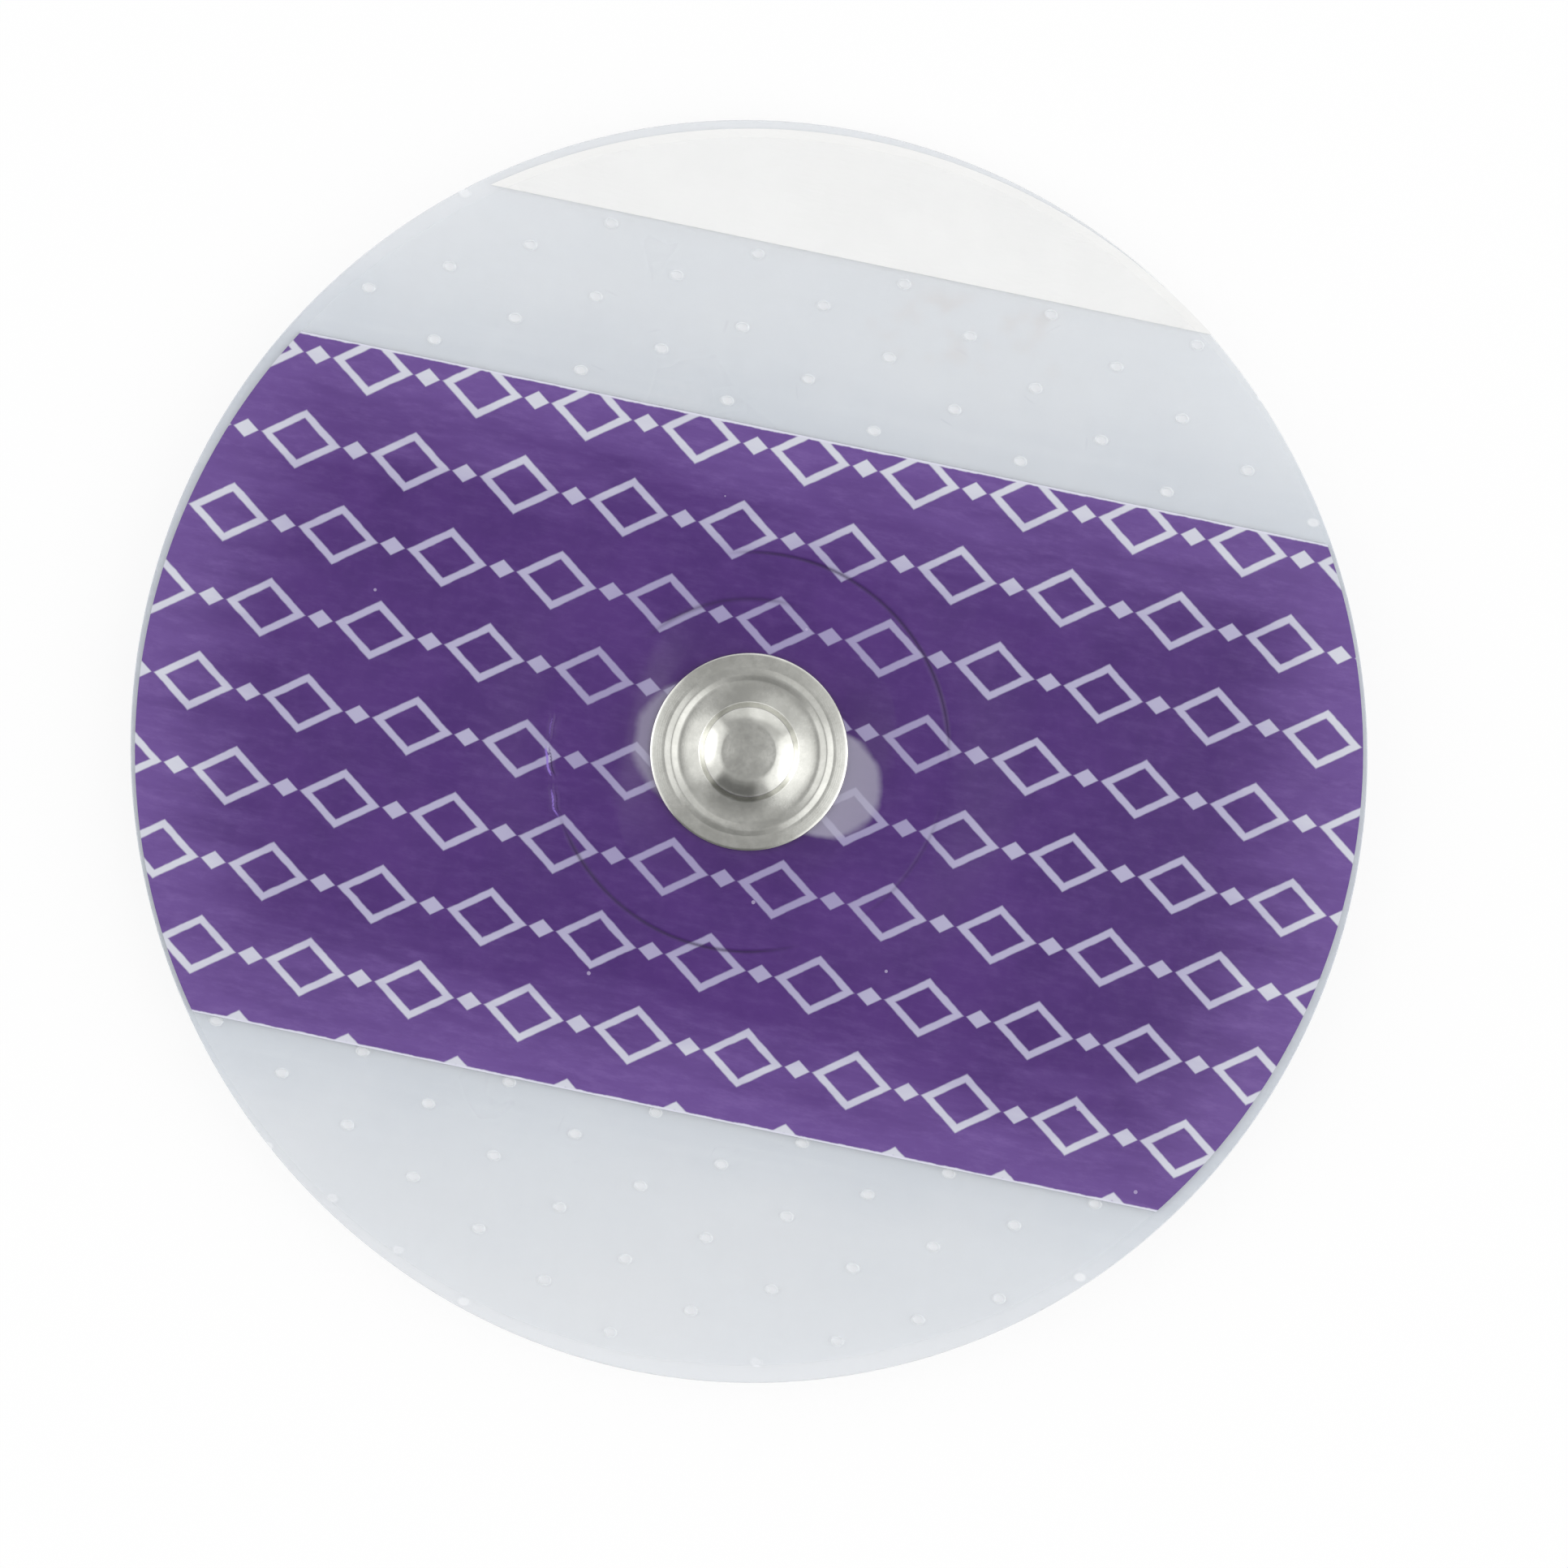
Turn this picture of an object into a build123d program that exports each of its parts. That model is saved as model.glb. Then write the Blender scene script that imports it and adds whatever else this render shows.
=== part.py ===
from build123d import *
from math import ceil, hypot, radians, tan
import os

# A disposable ECG electrode, as supplied on its release liner.
# Millimetres. +Z is the stud's axis and points away from the skin. +X runs along the label.
# The origin lies under the stud, on the surface that the liner's well stands on.

# Electrode disc: tape and label end in one round edge
disc_diameter = 55.0
tape_thickness = 0.12
label_width = 30.8
label_offset = -1.05  # label's centre line, from the disc's centre
label_thickness = 0.08
tab_depth = 5.0  # from the tab's straight edge to the disc's edge
tab_overhang = 0.4  # how far the tab stands out past the tape, as a grip
tab_thickness = 0.10
tab_ramp = 0.3  # run in which the tape climbs onto the tab

# Perforations: a staggered lattice wherever the tape is bare
perforation_length = 0.50
perforation_width = 0.35
perforation_pitch_x = 6.70
perforation_pitch_y = 3.354
perforation_shift_x = -0.80  # lattice point nearest to the disc's centre
perforation_shift_y = 0.11
perforation_margin = 0.03  # least film between a perforation and an edge

# Snap stud: drawn from sheet, built up from the head outwards and from the brim upwards
stud_sheet = 0.26
stud_head_diameter = 4.0
stud_undercut = 0.28  # neck's step in from the head
stud_waist_height = 0.60  # from the neck's narrowest place out to the head
stud_neck_length = 0.65
stud_neck_flare = 0.45  # how much wider the neck gets towards its foot
stud_foot_width = 0.98  # bend from the neck's foot out to the bead
stud_foot_height = 0.35
stud_bead_width = 0.88
stud_bead_height = 0.13
stud_brim_width = 0.42
stud_brim_bevel = 0.12
stud_head_land = 0.40
stud_shoulder_width = 0.85
stud_shoulder_height = 0.50

# Sensor eyelet
sensor_diameter = 10.0
sensor_thickness = 0.60
sensor_bevel = 0.15
post_clearance = 0.03  # between the post and the hollow of the stud
film_hole_clearance = 0.07  # between the post and the holes in tape and label

# Gel sponge
sponge_diameter = 18.0
sponge_height = 2.2
sponge_lift = 0.15  # how far the sponge lifts the films above the liner's flange
dish_width = 1.9  # run from the sensor's edge up to the sponge's crown
film_gap = 0.02  # between the sponge and the films over it
sensor_gap = 0.05  # between the sensor and its pocket in the sponge

# Release liner
liner_rim = 0.5  # how far the liner stands out past the tape
liner_thickness = 0.20
well_clearance = 0.10  # between the sponge and the bevel of the well's floor
well_draft = 12.0
well_floor_bevel = 0.30
well_mouth_bevel = 0.40
film_landing = 0.10  # flat of the liner's flange left bare round the well's mouth
turned_margin = 0.60  # flat film turned together with the raised middle

bend_fullness = 0.5523  # reach of a bend's control points towards its corner, for a nearly circular bend

# Levels of the stack, from the floor up
well_floor = liner_thickness
flange_top = well_floor + sponge_height + film_gap - sponge_lift
tape_top = flange_top + tape_thickness
seat = tape_top + label_thickness
sensor_bottom = flange_top - sensor_thickness

# Radii of the films' raised middle, from the sensor outwards
disc_radius = disc_diameter / 2
sensor_radius = sensor_diameter / 2
sponge_radius = sponge_diameter / 2
dish_radius = sensor_radius + dish_width
crown_radius = sponge_radius + film_gap
well_corner_radius = sponge_radius + well_clearance + well_floor_bevel
well_slope = tan(radians(well_draft))
well_mouth_radius = well_corner_radius + (flange_top - well_floor) * well_slope
landing_radius = well_mouth_radius + well_mouth_bevel + film_landing
turned_radius = landing_radius + turned_margin

# Radii and levels of the stud
head_radius = stud_head_diameter / 2
neck_radius = head_radius - stud_undercut
neck_foot_radius = neck_radius + stud_neck_flare
foot_radius = neck_foot_radius + stud_foot_width
bead_radius = foot_radius + stud_bead_width / 2
brim_radius = bead_radius + stud_bead_width / 2 + stud_brim_width
flat_radius = head_radius - stud_shoulder_width
brim_top = seat + stud_sheet
neck_foot = brim_top + stud_foot_height
neck_top = neck_foot + stud_neck_length
land_foot = neck_top + stud_waist_height
land_top = land_foot + stud_head_land
stud_top = land_top + stud_shoulder_height
neck_slope = stud_neck_flare / stud_neck_length
foot_corner_radius = neck_foot_radius + stud_foot_height * neck_slope  # where the neck's line meets the brim
hollow_foot_radius = neck_radius - stud_sheet + (neck_top - seat) * neck_slope
post_depth = stud_sheet + post_clearance
post_radius = neck_radius - post_depth
post_top = land_top - post_clearance
film_hole_radius = post_radius + film_hole_clearance

# Round edge of the tab, and the straight edges across the disc as Y positions
tab_radius = disc_radius + tab_overhang
tab_edge = disc_radius - tab_depth
label_top_edge = label_offset + label_width / 2
label_bottom_edge = label_offset - label_width / 2


def film_surface(level):
    """Section of a film's face: clamped on the sensor, up over the sponge, down onto the liner."""
    return [
        (film_hole_radius, level),
        (sensor_radius, level),
        (dish_radius, level + sponge_lift),
        (crown_radius, level + sponge_lift),
        (landing_radius, level),
        (turned_radius, level),
    ]


def film_section(level, thickness):
    """Closed section of a film's turned middle."""
    return film_surface(level) + film_surface(level + thickness)[::-1]


def draw_bend(start, corner, end):
    """Section line of a rounded bend between two faces that would otherwise meet in a corner."""
    first, middle, last = Vector(*start), Vector(*corner), Vector(*end)
    Bezier(first, first + (middle - first) * bend_fullness, last + (middle - last) * bend_fullness, last)


def hollow_head(depth, top):
    """Section of the inside of the stud's head from a level down, set that far in from the outer face."""
    return [
        (head_radius - depth, top),
        (head_radius - depth, land_foot),
        (neck_radius - depth, neck_top),
    ]


def tape_is_bare(spot):
    """Whether a perforation fits there in tape that neither the label nor the tab covers."""
    reach = perforation_width / 2 + perforation_margin
    above_label = label_top_edge + reach < spot.Y < tab_edge - tab_ramp - reach
    below_label = spot.Y < label_bottom_edge - reach
    rim_reach = perforation_length / 2 + perforation_margin
    return hypot(spot.X, spot.Y) < disc_radius - rim_reach and (above_label or below_label)


def perforation_spots():
    """Centres of the perforations: two equal grids, half a pitch apart both ways."""
    columns = 2 * ceil(disc_radius / perforation_pitch_x) + 1
    rows = 2 * ceil(disc_radius / perforation_pitch_y) + 1
    grid = GridLocations(perforation_pitch_x, perforation_pitch_y, columns, rows).locations
    shift = Vector(perforation_shift_x, perforation_shift_y)
    stagger = Vector(perforation_pitch_x / 2, perforation_pitch_y / 2)
    spots = [place.position + start for start in (shift, shift + stagger) for place in grid]
    return [spot for spot in spots if tape_is_bare(spot)]


# Release liner: a formed film with a well for the sponge
with BuildPart() as release_liner:
    with BuildSketch(Plane.XZ):
        with BuildLine():
            Polyline(
                (0, well_floor),
                (well_corner_radius - well_floor_bevel, well_floor),
                (well_corner_radius + well_floor_bevel * well_slope, well_floor + well_floor_bevel),
                (well_mouth_radius - well_mouth_bevel * well_slope, flange_top - well_mouth_bevel),
                (well_mouth_radius + well_mouth_bevel, flange_top),
                (disc_radius + liner_rim, flange_top),
            )
            offset(amount=liner_thickness, side=Side.RIGHT, kind=Kind.INTERSECTION)
        make_face()
    revolve(axis=Axis.Z)

# Gel sponge: a die-cut disc, pressed in where the sensor sits and along the dish round it
pocket_radius = sensor_radius + sensor_gap
pocket_floor = sensor_bottom - sensor_gap
crown_level = well_floor + sponge_height
with BuildPart() as gel_sponge:
    with BuildSketch(Plane.XZ):
        with BuildLine():
            Polyline(
                (0, well_floor),
                (sponge_radius, well_floor),
                (sponge_radius, crown_level),
                (dish_radius, crown_level),
                (pocket_radius, crown_level - sponge_lift),
                (pocket_radius, pocket_floor),
                (0, pocket_floor),
                close=True,
            )
        make_face()
    revolve(axis=Axis.Z)

# Sensor eyelet: a flange on the gel, with a post that is spread into the hollow of the stud
with BuildPart() as sensor_eyelet:
    with BuildSketch(Plane.XZ):
        with BuildLine():
            Polyline(
                (0, post_top),
                *hollow_head(post_depth, post_top),
                (post_radius, flange_top),
                (sensor_radius, flange_top),
                (sensor_radius, sensor_bottom + sensor_bevel),
                (sensor_radius - sensor_bevel, sensor_bottom),
                (0, sensor_bottom),
                close=True,
            )
        make_face()
    revolve(axis=Axis.Z)

# Lift tab: a round-ended segment between liner and tape
with BuildPart() as lift_tab:
    with BuildSketch(Plane.XY.offset(flange_top)):
        Circle(tab_radius)
        with Locations((0, tab_edge)):
            upwards = (Align.CENTER, Align.MIN)
            Rectangle(2 * tab_radius, tab_depth + tab_overhang, align=upwards, mode=Mode.INTERSECT)
    extrude(amount=tab_thickness)

# Backing tape: flat, with a ramp onto the tab, a turned middle over the sponge, and perforations
with BuildPart() as backing_tape:
    with BuildSketch(Plane.YZ):
        with BuildLine():
            Polyline(
                (-disc_radius, flange_top),
                (tab_edge - tab_ramp, flange_top),
                (tab_edge, flange_top + tab_thickness),
                (disc_radius, flange_top + tab_thickness),
                (disc_radius, tape_top + tab_thickness),
                (tab_edge, tape_top + tab_thickness),
                (tab_edge - tab_ramp, tape_top),
                (-disc_radius, tape_top),
                close=True,
            )
        make_face()
    extrude(amount=disc_radius, both=True)
    with BuildSketch(Plane.XY):
        Circle(disc_radius)
        Circle(turned_radius, mode=Mode.SUBTRACT)
    extrude(amount=tape_top + tab_thickness, mode=Mode.INTERSECT)
    with BuildSketch(Plane.XZ):
        with BuildLine():
            Polyline(*film_section(flange_top, tape_thickness), close=True)
        make_face()
    revolve(axis=Axis.Z)
    with BuildSketch(Plane.XY):
        with Locations(*perforation_spots()):
            Polygon(
                (-perforation_length / 2, 0),
                (-perforation_length / 4, -perforation_width / 2),
                (perforation_length / 4, -perforation_width / 2),
                (perforation_length / 2, 0),
                (perforation_length / 4, perforation_width / 2),
                (-perforation_length / 4, perforation_width / 2),
            )
    extrude(amount=tape_top, mode=Mode.SUBTRACT)

# Label strip: a straight-sided strip across the disc, with the same turned middle
with BuildPart() as label_strip:
    with BuildSketch(Plane.XY.offset(tape_top)):
        Circle(disc_radius)
        with Locations((0, label_offset)):
            Rectangle(disc_diameter, label_width, mode=Mode.INTERSECT)
        Circle(turned_radius, mode=Mode.SUBTRACT)
    extrude(amount=label_thickness)
    with BuildSketch(Plane.XZ):
        with BuildLine():
            Polyline(*film_section(tape_top, label_thickness), close=True)
        make_face()
    revolve(axis=Axis.Z)

# Snap stud: a hollow drawn shell
half_bead = stud_bead_width / 2
with BuildPart() as snap_stud:
    with BuildSketch(Plane.XZ):
        with BuildLine():
            Polyline(
                (brim_radius, seat),
                (brim_radius, brim_top - stud_brim_bevel),
                (brim_radius - stud_brim_bevel, brim_top),
                (bead_radius + half_bead, brim_top),
            )
            Bezier(
                (bead_radius + half_bead, brim_top),
                (bead_radius, brim_top + 2 * stud_bead_height),
                (foot_radius, brim_top),
            )
            draw_bend((foot_radius, brim_top), (foot_corner_radius, brim_top), (neck_foot_radius, neck_foot))
            Polyline(
                (neck_foot_radius, neck_foot),
                (neck_radius, neck_top),
                (head_radius, land_foot),
                (head_radius, land_top),
            )
            draw_bend((head_radius, land_top), (head_radius, stud_top), (flat_radius, stud_top))
            Polyline(
                (flat_radius, stud_top),
                (0, stud_top),
                (0, stud_top - stud_sheet),
                (flat_radius, stud_top - stud_sheet),
                *hollow_head(stud_sheet, land_top),
                (hollow_foot_radius, seat),
                (foot_radius, seat),
                (bead_radius, seat + stud_bead_height),
                (bead_radius + half_bead, seat),
                (brim_radius, seat),
            )
        make_face()
    revolve(axis=Axis.Z)

os.makedirs("parts", exist_ok=True)
pieces = {
    "release_liner": release_liner,
    "gel_sponge": gel_sponge,
    "sensor_eyelet": sensor_eyelet,
    "lift_tab": lift_tab,
    "backing_tape": backing_tape,
    "label_strip": label_strip,
    "snap_stud": snap_stud,
}
for name, piece in pieces.items():
    piece.part.label = name
    export_step(piece.part, f"parts/{name}.step")
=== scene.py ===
import math

import bpy
import numpy as np
from mathutils import Matrix, Vector, noise
from mathutils.geometry import delaunay_2d_cdt


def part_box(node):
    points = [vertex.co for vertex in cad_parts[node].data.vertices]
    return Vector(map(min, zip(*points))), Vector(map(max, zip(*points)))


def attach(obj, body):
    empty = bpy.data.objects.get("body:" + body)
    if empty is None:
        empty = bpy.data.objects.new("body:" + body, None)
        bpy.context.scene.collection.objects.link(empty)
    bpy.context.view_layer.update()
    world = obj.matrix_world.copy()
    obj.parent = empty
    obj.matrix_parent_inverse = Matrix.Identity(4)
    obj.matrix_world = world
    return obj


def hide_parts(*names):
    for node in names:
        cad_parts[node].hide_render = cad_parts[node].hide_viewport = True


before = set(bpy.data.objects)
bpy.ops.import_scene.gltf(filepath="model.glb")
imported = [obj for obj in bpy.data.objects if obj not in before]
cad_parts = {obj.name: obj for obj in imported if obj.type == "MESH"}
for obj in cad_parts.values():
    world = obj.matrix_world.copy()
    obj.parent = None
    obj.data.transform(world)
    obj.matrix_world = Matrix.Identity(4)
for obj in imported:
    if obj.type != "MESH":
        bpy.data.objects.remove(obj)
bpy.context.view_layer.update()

MM = 0.001

# Plan sizes of the electrode in millimetres, as in the part's source
DISC_R = 27.5
LINER_R = 28.0
LINER_OVAL = 0.31  # half the difference of the rim's two radii
LINER_TURN = math.radians(112)  # direction of its longer radius
LABEL_TOP, LABEL_BOTTOM = 14.35, -16.45
TAB_EDGE, TAB_RAMP, TAB_R = 22.5, 0.3, 27.9
FILM_HOLE_R, STUD_R, SENSOR_R, DISH_R, CROWN_R, LANDING_R = 1.50, 4.45, 5.0, 6.9, 9.02, 10.44
SPONGE_LIFT = 0.15  # rise of the films over the sponge
PERFORATION = (0.25, 0.175)  # half length and half width
PITCH, SHIFT = (6.70, 3.354), (-0.80, 0.11)

# Levels of the stack in millimetres, read from the frame
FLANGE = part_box("lift_tab")[0].z / MM
TAB_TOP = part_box("lift_tab")[1].z / MM
TAPE_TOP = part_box("label_strip")[0].z / MM
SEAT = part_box("snap_stud")[0].z / MM
STUD_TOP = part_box("snap_stud")[1].z / MM
SKIN = 0.008  # hairline of air between films, so that no two faces coincide

# Bends and marks of the films, in millimetres
FREE_R = 11.0  # radius at which the disc starts to droop
END_DROOP, LOWER_DROOP, WAVE = 0.30, 0.55, 0.05
CREASE_DEPTH, PUCKER_HEIGHT, LIP_HEIGHT = 0.035, 0.03, 0.018


# Shapes of the films


def ease(low, high, x):
    """0 below low, 1 above high, and a smooth rise between them."""
    t = np.clip((x - low) / (high - low), 0, 1)
    return t * t * (3 - 2 * t)


def sway(x, y):
    """The free part of the disc droops a little at both ends and at its lower rim, and waves faintly."""
    r = np.hypot(x, y)
    free = ease(FREE_R, DISC_R, r)
    ends = -END_DROOP * free * (x / DISC_R) ** 2
    lower = -LOWER_DROOP * ease(19.0, 29.0, -y)
    wave = WAVE * free * np.sin(0.21 * x + 0.9) * np.cos(0.17 * y - 0.4)
    return ends + lower + wave


def bulge(x, y):
    """Rise of the films over the sponge, with a dish round the stud that is steeper left and lower right."""
    r, a = np.hypot(x, y), np.degrees(np.arctan2(y, x))
    left, lower_right = arc_window(a, 148, 208, 24), arc_window(a, -60, 16, 24)
    start = SENSOR_R - 0.5 * np.maximum(left, lower_right)
    end = DISH_R - 1.5 * left - 0.6 * lower_right
    up = np.clip((r - start) / (end - start), 0, 1)
    return SPONGE_LIFT * up * (1 - ease(CROWN_R - 0.2, LANDING_R + 2.5, r))


def tab_step(y):
    """Rise of the tape onto the tab."""
    return (TAB_TOP - FLANGE) * np.clip((y - TAB_EDGE + TAB_RAMP) / TAB_RAMP, 0, 1)


def arc_window(angle, start, end, soft=9.0):
    """1 inside a range of degrees about the stud and 0 outside it, with soft ends."""
    middle, half = (start + end) / 2, (end - start) / 2
    off = np.abs((angle - middle + 180) % 360 - 180)
    return 1 - ease(half - soft, half + soft, off)


def crease(x, y):
    """Depth from 0 to 1 of the fine creases that the sponge's edge and the dish press into the label."""
    r, a = np.hypot(x, y), np.degrees(np.arctan2(y, x))
    edge_r, edge_width, dish_r, dish_width = 8.94, 0.075, 6.85, 0.09
    edge = np.exp(-(((r - edge_r) / edge_width) ** 2))
    edge *= np.maximum.reduce([arc_window(a, 15, 102), arc_window(a, 215, 290), 0.4 * arc_window(a, -40, -8)])
    dish = np.exp(-(((r - dish_r) / dish_width) ** 2)) * 0.7 * arc_window(a, 88, 138)
    return edge + dish


def pucker(x, y):
    """Short puckers at the left of the sponge's edge: ridges to 1, with furrows to -1 on their inner side."""
    r, a = np.hypot(x, y), np.degrees(np.arctan2(y, x)) % 360
    line = 9.0 + 0.07 * np.sin(np.radians(a) * 23) + 0.03 * np.sin(np.radians(a) * 61)
    width, furrow = 0.07, 0.15
    ridge = np.exp(-(((r - line) / width) ** 2)) - np.exp(-(((r - line + furrow) / width) ** 2))
    marks = [0.6 * arc_window(a, 181, 188, 2), arc_window(a, 190, 199, 2), 0.85 * arc_window(a, 202, 211, 3)]
    return ridge * np.maximum.reduce(marks)


def ring_points(radii, spacing, inside):
    """Points on circles round the stud, staggered from circle to circle."""
    points = []
    for k, r in enumerate(radii):
        count = max(12, round(2 * math.pi * r / spacing(r)))
        turn = (k % 2) * math.pi / count
        for i in range(count):
            a = 2 * math.pi * i / count + turn
            p = (r * math.cos(a), r * math.sin(a))
            if inside(*p):
                points.append(p)
    return points


def loop(points, start):
    """Edges of a closed loop of points whose first index is start."""
    count = len(points)
    return [(start + i, start + (i + 1) % count) for i in range(count)]


def circle(r, count, centre=(0, 0), ry=None):
    """Points of a circle, or of an oval with the second radius ry."""
    ry = r if ry is None else ry
    turns = [2 * math.pi * i / count for i in range(count)]
    return [(centre[0] + r * math.cos(a), centre[1] + ry * math.sin(a)) for a in turns]


def segment_outline(radius, low, high, step=0.45):
    """Outline of a disc between two straight cuts across it, anticlockwise from the lower right."""
    a0 = math.asin(max(low, -radius) / radius)
    a1 = math.asin(min(high, radius) / radius)
    right = np.linspace(a0, a1, max(8, int((a1 - a0) * radius / step)))
    points = [(radius * math.cos(a), radius * math.sin(a)) for a in right]
    points += straight(points[-1], (-points[-1][0], points[-1][1]), step)
    points += [(-x, y) for x, y in points[: len(right)][::-1]]
    points += straight(points[-1], points[0], step)
    kept = [points[0]]
    for p in points[1:]:
        if math.dist(p, kept[-1]) > 1e-3 and math.dist(p, points[0]) > 1e-3:
            kept.append(p)
    return kept


def straight(a, b, step):
    """Points between two ends of a straight cut, without the ends."""
    count = int(math.dist(a, b) / step)
    return [(a[0] + (b[0] - a[0]) * i / count, a[1] + (b[1] - a[1]) * i / count) for i in range(1, count)]


def perforations():
    """Centres of the tape's perforations, where neither the label nor the tab covers it."""
    spots, margin, rim_margin = [], 0.2, 0.03
    for j in range(-20, 21):
        y = SHIFT[1] + j * PITCH[1] / 2
        bare = LABEL_TOP + margin < y < TAB_EDGE - TAB_RAMP - margin or y < LABEL_BOTTOM - margin
        for i in range(-6, 7):
            x = SHIFT[0] + (i + (j % 2) / 2) * PITCH[0]
            if bare and math.hypot(x, y) < DISC_R - PERFORATION[0] - rim_margin:
                spots.append((x, y))
    return spots


def finish_mesh(name, verts, faces, material, node, sharp=40):
    """An object from points in millimetres, that stands for a CAD node."""
    mesh = bpy.data.meshes.new(name)
    mesh.from_pydata((np.asarray(verts, float) * MM).tolist(), [], faces)
    mesh.validate()
    mesh.shade_smooth()
    mesh.set_sharp_from_angle(angle=math.radians(sharp))
    mesh.materials.append(material)
    piece = bpy.data.objects.new(name, mesh)
    bpy.context.scene.collection.objects.link(piece)
    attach(piece, "root")
    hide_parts(node)
    return piece


def film(name, loops, inner, inside, top, bottom, material, node):
    """A film of closed outline loops and inner points, between two height functions."""
    plan, edges = [], []
    for points in loops:
        edges += loop(points, len(plan))
        plan += points
    plan += inner
    found = delaunay_2d_cdt([Vector(p) for p in plan], edges, [], 0, 1e-5)
    flat = np.array([(v.x, v.y) for v in found[0]])
    tris = np.array(found[2])
    middle = flat[tris].mean(axis=1)
    tris = tris[[inside(x, y) for x, y in middle]]
    a, b, c = flat[tris[:, 0]], flat[tris[:, 1]], flat[tris[:, 2]]
    turn = (b[:, 0] - a[:, 0]) * (c[:, 1] - a[:, 1]) - (b[:, 1] - a[:, 1]) * (c[:, 0] - a[:, 0])
    tris[turn < 0] = tris[turn < 0][:, ::-1]
    x, y = flat.T
    count = len(flat)
    verts = np.vstack([np.c_[x, y, top(x, y)], np.c_[x, y, bottom(x, y)]])
    sides = {}
    for i, j, k in tris.tolist():
        for p, q in ((i, j), (j, k), (k, i)):
            sides[(p, q)] = True
    rim = [(p, q) for p, q in sides if (q, p) not in sides]
    faces = tris.tolist() + (tris[:, ::-1] + count).tolist()
    faces += [(q, p, p + count, q + count) for p, q in rim]
    return finish_mesh(name, verts, faces, material, node)


def lathe(name, profile, segments, material, node, move=None, sharp=40):
    """A solid turned about the stud's axis from a line of (radius, level) that runs from axis to axis."""
    verts, rows = [], []
    for r, z in profile:
        if r < 1e-6:
            rows.append([len(verts)])
            verts.append((0, 0, z))
            continue
        rows.append(list(range(len(verts), len(verts) + segments)))
        verts += [(r * math.cos(t), r * math.sin(t), z) for t in np.arange(segments) * 2 * math.pi / segments]
    faces = []
    for low, high in zip(rows, rows[1:]):
        for i in range(segments):
            j = (i + 1) % segments
            quad = [low[i % len(low)], low[j % len(low)], high[j % len(high)], high[i % len(high)]]
            quad = list(dict.fromkeys(quad))
            if len(quad) > 2:
                faces.append(quad)
    verts = np.array(verts)
    if move is not None:
        verts += move(verts)
    return finish_mesh(name, verts, faces, material, node, sharp)


def bend(start, corner, end, steps):
    """Points of a rounded bend, without its start."""
    s, c, e = np.array(start), np.array(corner), np.array(end)
    roundness = 0.5523  # makes a cubic curve follow a quarter circle
    p1, p2 = s + (c - s) * roundness, e + (c - e) * roundness
    t = np.linspace(0, 1, steps + 1)[1:, None]
    line = s * (1 - t) ** 3 + 3 * p1 * t * (1 - t) ** 2 + 3 * p2 * t**2 * (1 - t) + e * t**3
    return [tuple(p) for p in line]


# Materials


class Shader:
    """A material with a Principled surface, and short calls that add nodes to it."""

    def __init__(self, name, **constants):
        self.material = bpy.data.materials.new(name)
        self.material.use_nodes = True
        self.nodes = self.material.node_tree.nodes
        self.links = self.material.node_tree.links
        self.surface = self.nodes["Principled BSDF"]
        for socket, value in constants.items():
            self.surface.inputs[socket.replace("_", " ")].default_value = value
        coordinates = self.nodes.new("ShaderNodeTexCoord").outputs["Object"]
        self.mm = self.add("ShaderNodeVectorMath", coordinates, operation="SCALE", Scale=1 / MM).outputs[0]
        parts = self.add("ShaderNodeSeparateXYZ", self.mm)
        self.x, self.y, self.z = parts.outputs

    def add(self, kind, *values, **settings):
        """A node whose first inputs take the values, in order."""
        node = self.nodes.new(kind)
        for key, value in settings.items():
            if key in node.inputs.keys():
                node.inputs[key].default_value = value
            else:
                setattr(node, key, value)
        for socket, value in zip(node.inputs, values):
            self.put(socket, value)
        return node

    def put(self, socket, value):
        if isinstance(value, bpy.types.NodeSocket):
            self.links.new(value, socket)
        else:
            socket.default_value = value

    def set(self, name, value):
        self.put(self.surface.inputs[name], value)

    def math(self, operation, a, b=0.0, c=0.0, clamp=False):
        return self.add("ShaderNodeMath", a, b, c, operation=operation, use_clamp=clamp).outputs[0]

    def noise(self, scale, detail=3.0, roughness=0.55, stretch=(1, 1, 1), shift=(0, 0, 0)):
        """Noise from 0 to 1 whose grains are about 1/scale millimetres."""
        place = self.add("ShaderNodeMapping", self.mm, Scale=stretch, Location=shift).outputs[0]
        node = self.add("ShaderNodeTexNoise", place, Scale=scale, Detail=detail, Roughness=roughness)
        return node.outputs["Fac"]

    def rise(self, value, low, high):
        """0 at low and 1 at high, smooth between them."""
        node = self.add("ShaderNodeMapRange", value, interpolation_type="SMOOTHSTEP")
        for key, number in (("From Min", low), ("From Max", high)):
            node.inputs[key].default_value = number
        return node.outputs["Result"]

    def span(self, value, low, high):
        """Stretches 0 to 1 onto low to high."""
        node = self.add("ShaderNodeMapRange", value)
        node.inputs["To Min"].default_value = low
        node.inputs["To Max"].default_value = high
        return node.outputs["Result"]

    def blend(self, share, a, b):
        """Colour a at share 0 and b at share 1."""
        node = self.add("ShaderNodeMix", data_type="RGBA")
        self.put(node.inputs["Factor"], share)
        self.put(node.inputs[6], a)
        self.put(node.inputs[7], b)
        return node.outputs[2]

    def bump(self, height, distance):
        """Bump from a height of 0 to 1 that stands for that many millimetres."""
        node = self.nodes.new("ShaderNodeBump")
        node.inputs["Strength"].default_value = 1.0
        node.inputs["Distance"].default_value = distance * MM
        self.put(node.inputs["Height"], height)
        self.put(self.surface.inputs["Normal"], node.outputs[0])


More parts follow.
